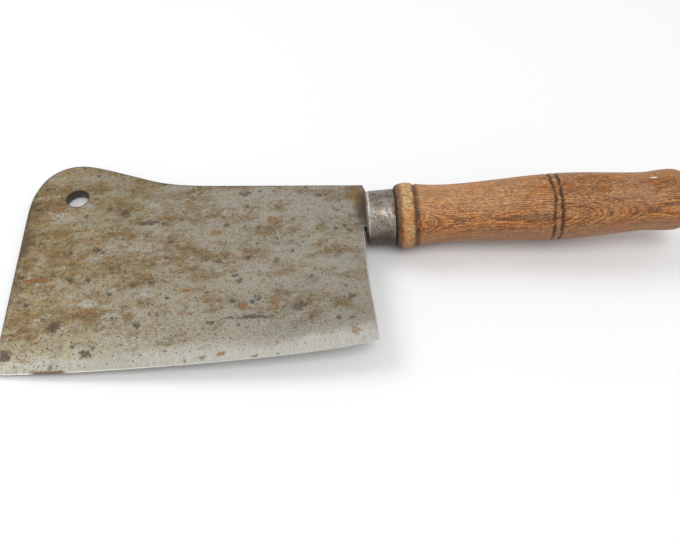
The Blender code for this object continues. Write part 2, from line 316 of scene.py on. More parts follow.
def inward(points):
    """A unit vector into the shape at each point of a closed anticlockwise outline."""
    out = []
    count = len(points)
    for k in range(count):
        before, after = Vector(points[k - 1]), Vector(points[(k + 1) % count])
        run = (after - before).normalized()
        out.append(Vector((-run.y, run.x)))
    return out


def inside(point, polygon):
    """Whether the point lies in the polygon, from how many sides a line to its right crosses."""
    x, y = point
    hit = False
    for k in range(len(polygon)):
        (ax, ay), (bx, by) = polygon[k - 1], polygon[k]
        if (ay > y) != (by > y) and x < (bx - ax) * (y - ay) / (by - ay) + ax:
            hit = not hit
    return hit


def edge_height(x, line):
    """Height of the cutting edge at x. The line runs from far end to heel."""
    k = min(max(bisect.bisect_left(line, (x, -1)) - 1, 0), len(line) - 2)
    (ax, ay), (bx, by) = line[k], line[k + 1]
    return ay + (by - ay) * min(1.0, max(0.0, (x - ax) / (bx - ax)))


def blade_half(x, y, edge):
    """Half thickness: a flat taper, then a bevel that is fuller behind the edge."""
    start_y = edge_height(x, edge) + BEVEL_HEIGHT
    if y >= start_y:
        return plate_half(y)
    s = min(1.0, (start_y - y) / BEVEL_HEIGHT)
    start_half = plate_half(start_y)
    return EDGE_HALF + (start_half - EDGE_HALF) * (1 - s ** BEVEL_CURVE)


def rim_values(step, radius):
    """How far a rounded rim lies below the flat at that step in, and how much of a rim it is."""
    drop = radius * (1 - math.sqrt(1 - (1 - step) ** 2)) if step < 1 else 0.0
    return drop, 1 - smoothstep(0.0, RIM_FADE, step * radius)


def outline_rings(outline):
    """Points just inside the outline, which carry the worn rounding of its rim."""
    out = []
    normals = inward(outline)
    for step in RING_STEPS:
        for (x, y), normal in zip(outline, normals):
            place = Vector((x, y)) + normal * step * RIM_RADIUS
            if x <= ROOT_END_X and inside(place, outline):
                out.append((*place, *rim_values(step, RIM_RADIUS)))
    return out


def hole_ring(reach, turn, values):
    """One ring of points round the hanging hole."""
    out = []
    for k in range(HOLE_POINTS):
        angle = 2 * math.pi * (k + turn) / HOLE_POINTS
        x = HOLE_AT[0] + reach * math.cos(angle)
        y = HOLE_AT[1] + reach * math.sin(angle)
        out.append((x, y, *values))
    return out


def flat_points(outline):
    """An even field of points over the flats, kept clear of the rims."""
    clear = 1.6 * RING_STEPS[-1] * RIM_RADIUS
    near = {}
    for x, y in outline:
        near.setdefault((round(x / clear), round(y / clear)), []).append((x, y))

    def is_clear(x, y):
        column, row = round(x / clear), round(y / clear)
        around = [(column + i, row + j) for i in (-1, 0, 1) for j in (-1, 0, 1)]
        if any(math.dist(other, (x, y)) < clear for cell in around for other in near.get(cell, ())):
            return False
        return math.dist((x, y), HOLE_AT) > HOLE_RADIUS + HOLE_CLEAR

    coarse = outline[::2]
    out = []
    low_y = EDGE_TIP[1] - 0.002
    for row in range(int((HUMP[1] - low_y) / (GRID * GRID_ROW))):
        y = low_y + row * GRID * GRID_ROW
        for column in range(int((ROOT_END_X - TIP_X) / GRID)):
            x = TIP_X + (column + 0.5 * (row % 2)) * GRID
            if is_clear(x, y) and inside((x, y), coarse):
                out.append((x, y, 0.0, 0.0))
    return out


def blade_plan():
    """The plate's plan: points (x, y, drop, rim), triangles, and the line of the cutting edge."""
    outline, edge_count = blade_outline()
    at_rim = rim_values(0.0, RIM_RADIUS)
    points = [(x, y, *at_rim) for x, y in outline]
    hole_start = len(points)
    points += hole_ring(HOLE_RADIUS, 0, rim_values(0.0, HOLE_RIM_RADIUS))
    points += outline_rings(outline)
    for step in RING_STEPS:
        values = rim_values(step, HOLE_RIM_RADIUS)
        points += hole_ring(HOLE_RADIUS + step * HOLE_RIM_RADIUS, 0.5, values)
    points += flat_points(outline)
    edges = [(k, (k + 1) % len(outline)) for k in range(len(outline))]
    edges += [(hole_start + k, hole_start + (k + 1) % HOLE_POINTS) for k in range(HOLE_POINTS)]
    in_millimetres = [Vector(point[:2]) * 1000 for point in points]
    places, _, faces, sources, _, _ = delaunay_2d_cdt(in_millimetres, edges, [], 1, 1e-5, True)
    plan = [(place.x / 1000, place.y / 1000, *points[min(source)][2:])
            for place, source in zip(places, sources)]
    solid = []
    for face in faces:
        middle = sum((places[k] for k in face), Vector((0, 0))) / (1000 * len(face))
        touches_rim_only = all(min(sources[k]) < len(outline) for k in face)
        if touches_rim_only and not inside(middle, outline):
            continue
        if math.dist(middle, HOLE_AT) > HOLE_RADIUS * 0.999:
            solid.append(face)
    return plan, solid, outline[:edge_count]


def surface_relief(x, y, side):
    """Slow waves of hand grinding, and shallow pits of old rust."""
    place = Vector((x, y, 0.03 * side))
    wave = noise.noise(place * 55)
    pit = max(0.0, noise.noise(place * 310) - 0.32)
    crater = max(0.0, noise.noise(place * 120 + Vector((7, 3, 1))) - 0.42)
    return GRIND_WAVE * wave - PIT_DEPTH * pit - CRATER_DEPTH * crater


def stain_strength(x, y, stains):
    """1 in the middle of the strongest stain there, falling to 0 at its reach."""
    best = 0.0
    for at_x, at_y, half_x, half_y in stains:
        if abs(x - at_x) < STAIN_REACH * half_x and abs(y - at_y) < STAIN_REACH * half_y:
            distance = math.hypot((x - at_x) / half_x, (y - at_y) / half_y)
            best = max(best, 1 - smoothstep(0.0, STAIN_REACH, distance))
    return best


def paint_attribute(mesh, name, values):
    """Stores one number for each vertex, for the material to read."""
    attribute = mesh.attributes.new(name, "FLOAT", "POINT")
    attribute.data.foreach_set("value", values)


def blade_sheets(bm, plan, edge):
    """The vertices of the blade's upper and under sides."""
    rim_layer = bm.verts.layers.float.new("rim")
    sheets = []
    for side in (1, -1):
        sheet = []
        for x, y, drop, rim in plan:
            half = blade_half(x, y, edge)
            if half > 2 * RIM_RADIUS:
                half -= drop
            half += surface_relief(x, y, side) * smoothstep(0.0, RELIEF_FULL, half - EDGE_HALF)
            vertex = bm.verts.new((x, y, side * half))
            vertex[rim_layer] = rim
            sheet.append(vertex)
        sheets.append(sheet)
    return sheets


def blade_mesh(plan, triangles, edge):
    """The plate as one closed skin: two sheets, joined by a wall along every open side."""
    bm = bmesh.new()
    top, under = blade_sheets(bm, plan, edge)
    directed = []
    for a, b, c in triangles:
        bm.faces.new((top[a], top[b], top[c]))
        bm.faces.new((under[c], under[b], under[a]))
        directed += [(a, b), (b, c), (c, a)]
    known = set(directed)
    for i, j in directed:
        if (j, i) not in known:
            bm.faces.new((top[j], top[i], under[i], under[j]))
    loose = [v for v in bm.verts if not v.link_faces]
    bmesh.ops.delete(bm, geom=loose, context="VERTS")
    return mesh_from_bmesh("blade_plate", bm)


def paint_stains(mesh, name, stains):
    """Stores how stained each vertex is. The underside has the same stains the other way round."""
    strengths = []
    for vertex in mesh.vertices:
        x, y, z = vertex.co
        stain_x = UNDERSIDE_MIRROR - x if z < 0 else x
        strengths.append(stain_strength(stain_x, y, stains))
    paint_attribute(mesh, name, strengths)


def add_blade_plate(material):
    plan, triangles, edge = blade_plan()
    mesh = blade_mesh(plan, triangles, edge)
    for name, (scatter, placed) in STAINS.items():
        paint_stains(mesh, name, all_stains(scatter, placed))
    above_edge = [vertex.co.y - edge_height(vertex.co.x, edge) for vertex in mesh.vertices]
    paint_attribute(mesh, "above_edge", above_edge)
    finish_piece("blade_plate", mesh, material, ["blade"])


# -------- turned meshes
HANDLE_SIDES = 208
FERRULE_SIDES = 176
WASHER_SIDES = 96
PEEN_SIDES = 56
HAMMER_BLOWS = 0.00016            # relief of the peened head's facets
WASHER_RELIEF = 0.00006
FERRULE_SWELL = 0.00005           # how far out of round the ferrule is
FERRULE_DENT = 0.00032
FERRULE_GRAIN = 0.00001


def turned_bmesh(profile, sides, closed, relief=None):
    """Spins (x, radius) points round the X axis. relief(x, radius, angle) moves the surface out."""
    bm = bmesh.new()
    rings = []
    for x, radius in profile:
        if radius == 0:
            rings.append([bm.verts.new((x, 0, 0))] * sides)
            continue
        ring = []
        for k in range(sides):
            angle = 2 * math.pi * k / sides
            reach = radius + (relief(x, radius, angle) if relief else 0.0)
            ring.append(bm.verts.new((x, reach * math.cos(angle), reach * math.sin(angle))))
        rings.append(ring)
    pairs = list(zip(rings, rings[1:]))
    if closed:
        pairs.append((rings[-1], rings[0]))
    for ring, following in pairs:
        for k in range(sides):
            n = (k + 1) % sides
            corners = (ring[k], ring[n], following[n], following[k])
            bm.faces.new(list(dict.fromkeys(corners)))
    return bm


def add_peened_head(material):
    """The tang's end, hammered out over the washer into a low faceted dome."""
    base_x = WASHER_REAR + GAP
    profile = [(base_x, 0), (base_x, PEEN_RADIUS * 0.6), (base_x, PEEN_RADIUS * 0.97)]
    for step in range(1, 15):
        angle = math.pi / 2 * step / 15
        profile.append((base_x + PEEN_HEIGHT * math.sin(angle) ** 0.9,
                        PEEN_RADIUS * math.cos(angle) ** 0.8))
    profile.append((base_x + PEEN_HEIGHT, 0))
    bm = turned_bmesh(profile, PEEN_SIDES, False)
    for vertex in bm.verts:
        blow = noise.noise(vertex.co * 620)
        if vertex.co.x > base_x + 0.0002:
            vertex.co.x += HAMMER_BLOWS * blow
        vertex.co.y *= 1 + 0.05 * noise.noise(vertex.co * 260)
    mesh = mesh_from_bmesh("peened_head", bm)
    finish_piece("tang_peened_head", mesh, material, ["blade"])


def around_axis(x, radius, angle):
    """The place at that angle and distance from the tool's axis."""
    return Vector((x, radius * math.cos(angle), radius * math.sin(angle)))


def ferrule_relief(x, radius, angle):
    """Slightly out of round, with a few shallow dents."""
    place = around_axis(x, radius, angle)
    swell = noise.noise(place * 90)
    dent = max(0.0, noise.noise(place * 190 + Vector((2, 9, 4))) - 0.35)
    return FERRULE_SWELL * swell - FERRULE_DENT * dent + FERRULE_GRAIN * noise.noise(place * 900)


def ferrule_profile():
    """From the middle of the front face over the rounded shoulder and the wall, and back inside."""
    shoulder = []
    for step in range(13):
        angle = math.pi / 2 * step / 12
        shoulder.append((
            FERRULE_FRONT + FERRULE_SHOULDER * (1 - math.sin(angle)),
            FERRULE_R_FRONT - FERRULE_SHOULDER * (1 - math.cos(angle)),
        ))
    shoulder = shoulder[::-1]
    face = resampled([(FERRULE_FRONT, 0.0006), shoulder[0]], lambda _: 0.0009)
    outer = shoulder[-1:] + [
        (-FERRULE_LIP, FERRULE_R_REAR - 0.00002),
        (-0.3 * FERRULE_LIP, FERRULE_R_REAR - 0.3 * FERRULE_LIP),
        (0, FERRULE_R_REAR - FERRULE_LIP),
    ]
    wall = resampled(outer, lambda _: 0.00045)[1:]
    inner_front = FERRULE_FRONT + FERRULE_WALL
    inner = [(0, FERRULE_INNER_R), (inner_front, FERRULE_INNER_R), (inner_front, 0)]
    return [(FERRULE_FRONT, 0)] + face[:-1] + shoulder + wall + inner


def slot_block():
    """A block that cuts the ferrule's slot for the tang's root, from its top down."""
    bm = bmesh.new()
    bmesh.ops.create_cube(bm, size=1)
    low = Vector((FERRULE_FRONT - 0.002, ROOT_BOTTOM - GAP, -plate_half(ROOT_TOP) - GAP))
    high = Vector((FERRULE_SLOT_END, FERRULE_R_REAR + 0.002, plate_half(ROOT_TOP) + GAP))
    for vertex in bm.verts:
        vertex.co = [low[k] + (vertex.co[k] + 0.5) * (high[k] - low[k]) for k in range(3)]
    return mesh_from_bmesh("cutter", bm)


def cut_mesh(name, body_mesh, cutter_mesh):
    """The first mesh less the second, as a new mesh."""
    body = bpy.data.objects.new("cup", body_mesh)
    cutter = bpy.data.objects.new("cutter", cutter_mesh)
    for thing in (body, cutter):
        bpy.context.scene.collection.objects.link(thing)
    cut = body.modifiers.new("slot", "BOOLEAN")
    cut.operation = "DIFFERENCE"
    cut.solver = "EXACT"
    cut.object = cutter
    graph = bpy.context.evaluated_depsgraph_get()
    mesh = bpy.data.meshes.new_from_object(body.evaluated_get(graph))
    mesh.name = name
    for thing in (body, cutter):
        bpy.data.objects.remove(thing)
    return mesh


def add_ferrule(material):
    def relief(x, radius, angle):
        return ferrule_relief(x, radius, angle) if radius > FERRULE_INNER_R + 0.0002 else 0.0

    cup = mesh_from_bmesh("cup", turned_bmesh(ferrule_profile(), FERRULE_SIDES, False, relief))
    mesh = cut_mesh("ferrule_cup", cup, slot_block())
    finish_piece("ferrule_cup", mesh, material, ["ferrule"])


def add_washer(material):
    bevel = 0.0003
    profile = resampled([
        (WASHER_FRONT, WASHER_HOLE_R), (WASHER_FRONT, WASHER_R), (WASHER_REAR - bevel, WASHER_R),
        (WASHER_REAR, WASHER_R - bevel), (WASHER_REAR, WASHER_HOLE_R)], lambda _: 0.0006)

    def relief(x, radius, angle):
        if radius <= WASHER_HOLE_R + 0.0004:
            return 0.0
        return WASHER_RELIEF * noise.noise(around_axis(x, radius, angle) * 300)

    mesh = mesh_from_bmesh("butt_washer_ring", turned_bmesh(profile, WASHER_SIDES, True, relief))
    finish_piece("butt_washer_ring", mesh, material, ["butt_washer"])


# -------- handle mesh
CUT_RINGS = (                             # where, depth, width, and how far it strays
    (BEAD_GROOVE_X, BEAD_GROOVE_DEPTH, 0.0010, 0.0004),
    (RINGS_X[0], RING_DEPTH, 0.0006, 0.0009),
    (RINGS_X[1], RING_DEPTH, 0.0006, 0.0009),
)
CHIP = (0.1272, 1.45, 0.0016, 0.022)      # flake of old paint: x, angle, half length, half angle
BEAD_FADE = (0.0085, 0.0105)              # where the bead's bruises die out
WOOD_SWELL = 0.00010
GRAIN_RELIEF = 0.000022
DENT_DEPTH = 0.00045
BRUISE_RELIEF = 0.00007


def groove_wander(x, angle, reach):
    """How far a hand-cut ring strays along the handle at that angle."""
    broad = noise.noise(Vector((x * 900, 1.3 * math.cos(angle), 1.3 * math.sin(angle))))
    fine = noise.noise(Vector((x * 900, 9 * math.cos(angle), 9 * math.sin(angle))))
    return reach * (broad + 0.6 * fine)


def cut_strengths(x, angle, spread):
    """For each cut ring, how far this place is in it (0 to about 1), and how deep it is cut."""
    out = []
    for at, depth, width, wander in CUT_RINGS:
        middle = at + groove_wander(at, angle, wander)
        ragged = 1 + 0.45 * noise.noise(Vector((at * 700, 5 * math.cos(angle), 5 * math.sin(angle))))
        out.append((ragged * math.exp(-((x - middle) / (width * spread)) ** 2), depth))
    return out


def groove_depth(x, angle):
    """How deep the cut rings lie there."""
    return sum(strength * depth for strength, depth in cut_strengths(x, angle, 1.0))


def groove_shade_amount(x, angle):
    """How much painted shade lies there, a little wider than the cut itself."""
    return min(1.0, max(strength for strength, _ in cut_strengths(x, angle, 1.5)))


def wood_relief(x, radius, angle):
    """Out of round, raised grain, dents, and a bruised bead."""
    if radius < WASHER_R + 0.0008 and x > BUTT_X - 0.003:
        return 0.0
    place = around_axis(x, radius, angle)
    grain = noise.noise(Vector((x * 130, place.y * 1500, place.z * 1500)))
    slow = noise.noise(place * 38 + Vector((3, 1, 8)))
    dent = max(0.0, noise.noise(place * 150 + Vector((5, 2, 6))) - 0.40)
    bruise = noise.noise(place * 420 + Vector((1, 7, 2)))
    on_bead = 1 - smoothstep(*BEAD_FADE, x)
    out = WOOD_SWELL * slow + GRAIN_RELIEF * grain - DENT_DEPTH * dent
    out += on_bead * BRUISE_RELIEF * bruise
    return out - groove_depth(x, angle)


def handle_profile():
    """Outside from the tenon to the butt, then back through the washer's recess and the bore."""
    front_x = GAP
    outside = [(front_x, BEAD_FRONT_R)]
    outside += bezier(outside[0], (0.0006, 0.0157), (0.0032, BEAD[1]), BEAD, 12)
    outside += bezier(BEAD, (0.0078, BEAD[1]), (0.0091, 0.0162), (BEAD_GROOVE_X, GROOVE_LIP_R), 10)
    outside += bezier(outside[-1], (0.0145, 0.0149), (0.020, WAIST[1]), WAIST, 24)
    outside += bezier(WAIST, (0.045, WAIST[1]), (0.066, BULGE[1]), BULGE, 40)
    outside += bezier(BULGE, (0.098, BULGE[1]), (0.114, NECK[1]), NECK, 36)
    outside += bezier(NECK, (0.128, NECK[1]), (0.133, POMMEL[1]), POMMEL, 16)
    butt_edge = (BUTT_X, BUTT_FACE_R)
    outside += bezier(POMMEL, (0.1413, POMMEL[1]), (BUTT_X, 0.0137), butt_edge, 24)

    def spacing(x):
        near = min(abs(x - at) for at in (BEAD_GROOVE_X, *RINGS_X))
        if near < 0.0016:
            return 0.00022
        return 0.00045 if x < BEAD_GROOVE_X or x > POMMEL[0] else 0.0008

    outside = resampled(outside, spacing)
    recess_x = BUTT_X - WASHER_RECESS
    inner = [(BUTT_X, WASHER_R + GAP), (recess_x, WASHER_R + GAP), (recess_x, DRILL_R),
             (BORE_END, DRILL_R), (BORE_END, BORE_R), (TENON_FRONT, BORE_R)]
    return [(TENON_FRONT, TENON_R), (front_x, TENON_R)] + outside + inner


def add_handle(material):
    def relief(x, radius, angle):
        outer = radius > TENON_R + 0.0001 or x > BUTT_X - 0.004
        return wood_relief(x, radius, angle) if outer and radius > WASHER_R + 0.0004 else 0.0

    mesh = mesh_from_bmesh("handle_turning", turned_bmesh(handle_profile(), HANDLE_SIDES, True, relief))
    groove_shade, chip = [], []
    for vertex in mesh.vertices:
        x, y, z = vertex.co
        angle = math.atan2(z, y)
        groove_shade.append(groove_shade_amount(x, angle))
        away = math.hypot((x - CHIP[0]) / CHIP[2], (angle - CHIP[1]) / CHIP[3])
        chip.append(1 - smoothstep(0.0, 2.0, away))
    paint_attribute(mesh, "groove_shade", groove_shade)
    paint_attribute(mesh, "chip", chip)
    finish_piece("handle_turning", mesh, material, ["handle"], 60)


# -------- materials
def linear(red, green, blue):
    """A colour as a shader value, from its 0 to 255 screen value."""
    out = []
    for value in (red, green, blue):
        share = value / 255
        out.append(share / 12.92 if share <= 0.04045 else ((share + 0.055) / 1.055) ** 2.4)
    return (*out, 1.0)


class Nodes:
    """Adds shader nodes in short calls and hands back their outputs."""

    def __init__(self, name):
        self.material = bpy.data.materials.new(name)
        self.material.use_nodes = True
        self.tree = self.material.node_tree
        self.shader = self.tree.nodes["Principled BSDF"]
        self.place = self.attribute("tool_place", "Vector")
        self.x, self.y, self.z = self.axes(self.place)

    def add(self, kind, **settings):
        node = self.tree.nodes.new(kind)
        for name, value in settings.items():
            setattr(node, name, value)
        return node

    def feed(self, socket, value):
        if isinstance(value, bpy.types.NodeSocket):
            self.tree.links.new(value, socket)
        else:
            socket.default_value = value

    def attribute(self, name, output="Fac"):
        return self.add("ShaderNodeAttribute", attribute_name=name).outputs[output]

    def axes(self, vector):
        node = self.add("ShaderNodeSeparateXYZ")
        self.feed(node.inputs[0], vector)
        return node.outputs

    def math(self, operation, *values):
        node = self.add("ShaderNodeMath", operation=operation)
        for socket, value in zip(node.inputs, values):
            self.feed(socket, value)
        return node.outputs[0]

    def chain(self, operation, values):
        """All the values joined by one operation, from first to last."""
        joined = values[0]
        for value in values[1:]:
            joined = self.math(operation, joined, value)
        return joined

    def total(self, *values):
        return self.chain("ADD", values)

    def product(self, *values):
        return self.chain("MULTIPLY", values)

    def largest(self, *values):
        return self.chain("MAXIMUM", values)

    def less(self, value, taken):
        return self.math("SUBTRACT", value, taken)

    def scaled(self, vector, factors, offset=(0, 0, 0)):
        node = self.add("ShaderNodeVectorMath", operation="MULTIPLY_ADD")
        self.feed(node.inputs[0], vector)
        node.inputs[1].default_value = factors
        node.inputs[2].default_value = offset
        return node.outputs[0]

    def warped(self, vector, scale, amount):
        """The vector pushed about by slow noise, so that shapes lose their regular outline."""
        wobble = self.add("ShaderNodeTexNoise", noise_dimensions="3D")
        self.feed(wobble.inputs["Vector"], vector)
        wobble.inputs["Scale"].default_value = scale
        wobble.inputs["Detail"].default_value = 3
        node = self.add("ShaderNodeVectorMath", operation="MULTIPLY_ADD")
        self.feed(node.inputs[0], wobble.outputs["Color"])
        node.inputs[1].default_value = (amount, amount, amount)
        self.feed(node.inputs[2], vector)
        return node.outputs[0]

    def noise(self, vector, scale, detail=4, roughness=0.55):
        node = self.add("ShaderNodeTexNoise", noise_dimensions="3D")
        self.feed(node.inputs["Vector"], vector)
        node.inputs["Scale"].default_value = scale
        node.inputs["Detail"].default_value = detail
        node.inputs["Roughness"].default_value = roughness
        return node.outputs["Fac"]

    def span(self, value, low, high, to_low=0.0, to_high=1.0, smooth=True):
        """The value from low to high, stretched to run from to_low to to_high."""
        node = self.add("ShaderNodeMapRange")
        node.interpolation_type = "SMOOTHSTEP" if smooth else "LINEAR"
        for name, number in (("Value", value), ("From Min", low), ("From Max", high),
                             ("To Min", to_low), ("To Max", to_high)):
            self.feed(node.inputs[name], number)
        return node.outputs["Result"]

    def push(self, noise_value, reach):
        """Noise turned into a shift of up to reach, either way."""
        return self.span(noise_value, 0.3, 0.7, -reach, reach, smooth=False)

    def mix(self, factor, first, second, blend="MIX"):
        node = self.add("ShaderNodeMix", data_type="RGBA", blend_type=blend)
        self.feed(node.inputs[0], factor)
        self.feed(node.inputs[6], first)
        self.feed(node.inputs[7], second)
        return node.outputs[2]

    def cover(self, colour, mask, strength, paint):
        """The colour with paint laid over it where the mask is."""
        return self.mix(self.product(mask, strength), colour, paint)

    def tint(self, colour, value, low, high, strength, paint):
        """The colour with paint laid over it as the value runs from low to high."""
        return self.mix(self.span(value, low, high, 0.0, strength), colour, paint)

    def speckled(self, colour, fine_noise, darkest, palest):
        """The colour multiplied by fine noise."""
        factor = self.span(fine_noise, 0.3, 0.7, darkest, palest, smooth=False)
        return self.mix(1.0, colour, factor, "MULTIPLY")

    def spots(self, vector, scale, radius, share, seed, dimensions="2D"):
        """Soft round spots in a share of random cells: scale cells per metre, radius in cells."""
        cells = self.add("ShaderNodeTexVoronoi", voronoi_dimensions=dimensions, feature="F1")
        self.feed(cells.inputs["Vector"], self.scaled(vector, (1, 1, 1), seed))
        cells.inputs["Scale"].default_value = scale
        choice, size_choice, _ = self.axes(cells.outputs["Color"])
        size = self.product(self.span(size_choice, 0, 1, 0.35, 1.0), radius)
        chosen = self.span(choice, share, share - 0.02, 0.0, 1.0, smooth=False)
        edge = self.product(size, 0.5)
        in_spot = self.span(self.less(cells.outputs["Distance"], size), edge, self.product(edge, -1))
        return self.product(in_spot, chosen)

    def bump(self, height, distance, strength):
        node = self.add("ShaderNodeBump")
        node.inputs["Strength"].default_value = strength
        node.inputs["Distance"].default_value = distance
        self.feed(node.inputs["Height"], height)
        return node.outputs["Normal"]

    def finish(self, colour, roughness, metallic, normal):
        self.feed(self.shader.inputs["Base Color"], colour)
        self.feed(self.shader.inputs["Roughness"], roughness)
        self.feed(self.shader.inputs["Metallic"], metallic)
        self.feed(self.shader.inputs["Normal"], normal)
        return self.material


# -------- the blade's steel
STEEL_FAR = linear(154, 145, 120)
STEEL_NEAR = linear(181, 174, 158)
STEEL_COOL = linear(172, 168, 157)
STEEL_DULL = linear(122, 112, 96)
STEEL_RUBBED = linear(176, 170, 154)
HEEL_HIGHLIGHT = linear(206, 202, 192)
OCHRE = linear(132, 106, 60)
OCHRE_DEEP = linear(104, 80, 46)
OCHRE_FLECK = linear(112, 84, 48)
OCHRE_GOLD = linear(164, 134, 82)
RUST_DEEP = linear(120, 84, 42)
RUST_PALE = linear(162, 112, 58)
RUST_SPOT = linear(150, 106, 52)
ROOT_RUST = linear(88, 68, 46)
ROOT_GOLD = linear(152, 116, 68)
BORDER_DIRT = linear(92, 78, 58)
RIM_SHADE = linear(80, 75, 63)
PIT_GREY = linear(60, 54, 46)
PIT_BROWN = linear(80, 60, 40)
HONED_FAR = (linear(122, 119, 108), linear(170, 167, 155))
HONED_NEAR = (linear(158, 155, 145), linear(238, 235, 226))
EDGE_GLINT = linear(200, 198, 190)
EDGE_BROWN = linear(104, 82, 66)

UNDERSIDE_SHIFT = 0.31        # how far along the noise the underside reads, to differ from the top
BAND_TOP = (0.0118, 0.0032)   # heights over the edge where the honed band starts and is full


def blade_sheet(n):
    """The tool's coordinates, moved along for the underside, which has stains of its own."""
    shift = n.add("ShaderNodeCombineXYZ")
    n.feed(shift.inputs[0], n.product(n.math("LESS_THAN", n.z, 0.0), UNDERSIDE_SHIFT))
    moved = n.add("ShaderNodeVectorMath", operation="ADD")
    n.feed(moved.inputs[0], n.place)
    n.feed(moved.inputs[1], shift.outputs[0])
    return moved.outputs[0]


def bare_steel(n, warped, cloud):
    """Ground steel, greyer towards the handle."""
    grey_zone = n.span(n.total(n.x, n.product(cloud, 0.08)), -0.12, -0.01)
    steel = n.mix(grey_zone, STEEL_FAR, STEEL_NEAR)
    cool = n.noise(n.scaled(warped, (0.6, 1.1, 1), (2, 6, 0)), 150, 5, 0.6)
    return n.tint(steel, cool, 0.50, 0.64, 0.8, STEEL_COOL)


def add_patina(n, warped, colour):
    """Ochre patina in streaks along the blade, thickest towards the far end.

    Hands back the colour, how thick the patina lies, and its own rough pattern.
    """
    broad = n.noise(n.scaled(warped, (0.60, 1.10, 1), (3, 1, 2)), 58, 8, 0.68)
    patch = n.noise(n.scaled(warped, (0.62, 1.10, 1), (5, 9, 4)), 190, 8, 0.74)
    leaning = n.span(n.x, -0.185, -0.02, 0.040, -0.022, smooth=False)
    low_down = n.span(n.y, -0.078, -0.045, -0.075, 0.0, smooth=False)
    brown = n.product(n.attribute("brown_mark"), 0.055)
    amount = n.total(n.product(n.total(broad, patch), 0.5), leaning, low_down, brown)
    colour = n.tint(colour, amount, 0.465, 0.585, 0.70, OCHRE)
    colour = n.tint(colour, amount, 0.555, 0.66, 0.55, OCHRE_DEEP)

    flecks = n.noise(n.scaled(warped, (0.75, 1.1, 1), (9, 4, 7)), 600, 6, 0.74)
    flecks = n.total(flecks, n.product(leaning, 0.7), n.product(n.less(amount, 0.5), 0.5))
    colour = n.tint(colour, flecks, 0.53, 0.66, 0.66, OCHRE_FLECK)
    gold = n.noise(n.scaled(warped, (0.8, 1.1, 1), (6, 2, 3)), 300, 7, 0.74)
    gold = n.total(gold, n.total(leaning, low_down))
    colour = n.tint(colour, gold, 0.52, 0.63, 0.50, OCHRE_GOLD)
    brightening = n.noise(n.scaled(warped, (0.7, 1.1, 1), (1, 8, 5)), 480, 6, 0.72)
    colour = n.tint(colour, brightening, 0.54, 0.68, 0.62, STEEL_RUBBED)
    return colour, amount, patch


def blade_stain(n, name, ragged_push, low, high):
    """A kind of stain that stands out, its outline broken up by fine noise."""
    return n.span(n.total(n.attribute(name), ragged_push), low, high)


def add_end_dirt(n, warped, colour):
    """A dirty border along the far end, and rust at the tang's root, which is handed back too."""
    border_push = n.push(n.noise(warped, 120, 6, 0.65), 0.0045)
    from_tip = n.total(n.less(n.x, TIP_X), border_push)
    border = n.product(n.span(from_tip, 0.0065, 0.0), n.span(n.y, -0.060, -0.005, 0.15, 0.85))
    colour = n.mix(border, colour, BORDER_DIRT)
    root_x = n.total(n.x, n.product(border_push, 0.6))
    root = n.product(n.span(root_x, -0.0215, -0.0150), n.span(n.y, -0.0100, -0.004),
                     n.span(n.y, 0.0225, 0.0120))
    gold = n.product(n.span(root_x, -0.0225, -0.0180), n.span(n.y, 0.004, 0.009),
                     n.span(n.y, 0.021, 0.015))
    colour = n.cover(colour, gold, 0.75, ROOT_GOLD)
    return n.cover(colour, root, 0.92, ROOT_RUST), root


def blade_pits(n, sheet, warped, low_right, dark):
    """The dark stains, and pits of three sizes. The smallest come in crowds."""
    large = n.spots(warped, 120, 0.13, 0.26, (4, 2, 9))
    small = n.spots(warped, 330, 0.15, 0.46, (1, 5, 3))
    tiny = n.spots(n.warped(sheet, 1100, 0.0009), 860, 0.30, 0.36, (6, 8, 2))
    crowd = n.span(n.total(n.noise(sheet, 34), n.product(low_right, 0.14)), 0.42, 0.60, 0.12, 1.0)
    return n.largest(n.product(large, 0.8), n.product(small, 0.85), n.product(tiny, crowd, 0.72), dark)


def add_honed_band(n, sheet, warped, colour, above, pits, rust):
    """The honed band along the edge, paler towards the handle. Pits and rust show through it."""
    band_push = n.push(n.noise(n.scaled(warped, (0.5, 1, 1)), 110, 6, 0.65), 0.0030)
    band = n.span(n.total(above, band_push), *BAND_TOP)
    honing = n.noise(n.scaled(sheet, (1.4, 0.5, 1)), 520, 7, 0.78)
    bright = n.mix(n.span(n.x, -0.175, -0.030), n.mix(honing, *HONED_FAR), n.mix(honing, *HONED_NEAR))
    no_pits = n.less(1.0, n.product(pits, 0.8))
    no_rust = n.less(1.0, n.product(rust, 0.85))
    clean = n.product(band, no_pits, no_rust, 0.85)
    return n.mix(clean, colour, bright), clean


def add_rims(n, colour, above):
    """Painted shade round every rim, a painted highlight just inside the heel's rear rim, and a painted
    glint along the cutting edge, brown where the edge has rusted.
    """
    rim = n.attribute("rim")
    # painted shade: the rounded rims and walls are darkened
    wall = n.product(rim, n.span(above, 0.002, 0.006), 0.85)
    colour = n.mix(wall, colour, RIM_SHADE)
    # painted highlight: a pale line just inside the heel's rear rim, below the tang's root
    heel_rim_highlight = n.product(n.span(n.x, -0.0200, -0.0175), n.span(n.y, -0.004, -0.012),
                            n.span(rim, 0.25, 0.55), n.span(rim, 0.995, 0.93))
    colour = n.mix(heel_rim_highlight, colour, HEEL_HIGHLIGHT)
    # painted highlight: a glint along the cutting edge, brown instead where the edge has rusted
    glint = n.span(above, 0.0005, 0.0002)
    in_rust = n.product(n.span(n.x, EDGE_RUST[0] - 0.002, EDGE_RUST[0] + 0.002),
                        n.span(n.x, EDGE_RUST[1] + 0.002, EDGE_RUST[1] - 0.002))
    edge_reach = n.largest(glint, n.product(in_rust, n.span(above, 0.0016, 0.0008)))
    return n.mix(edge_reach, colour, n.mix(in_rust, EDGE_GLINT, EDGE_BROWN))


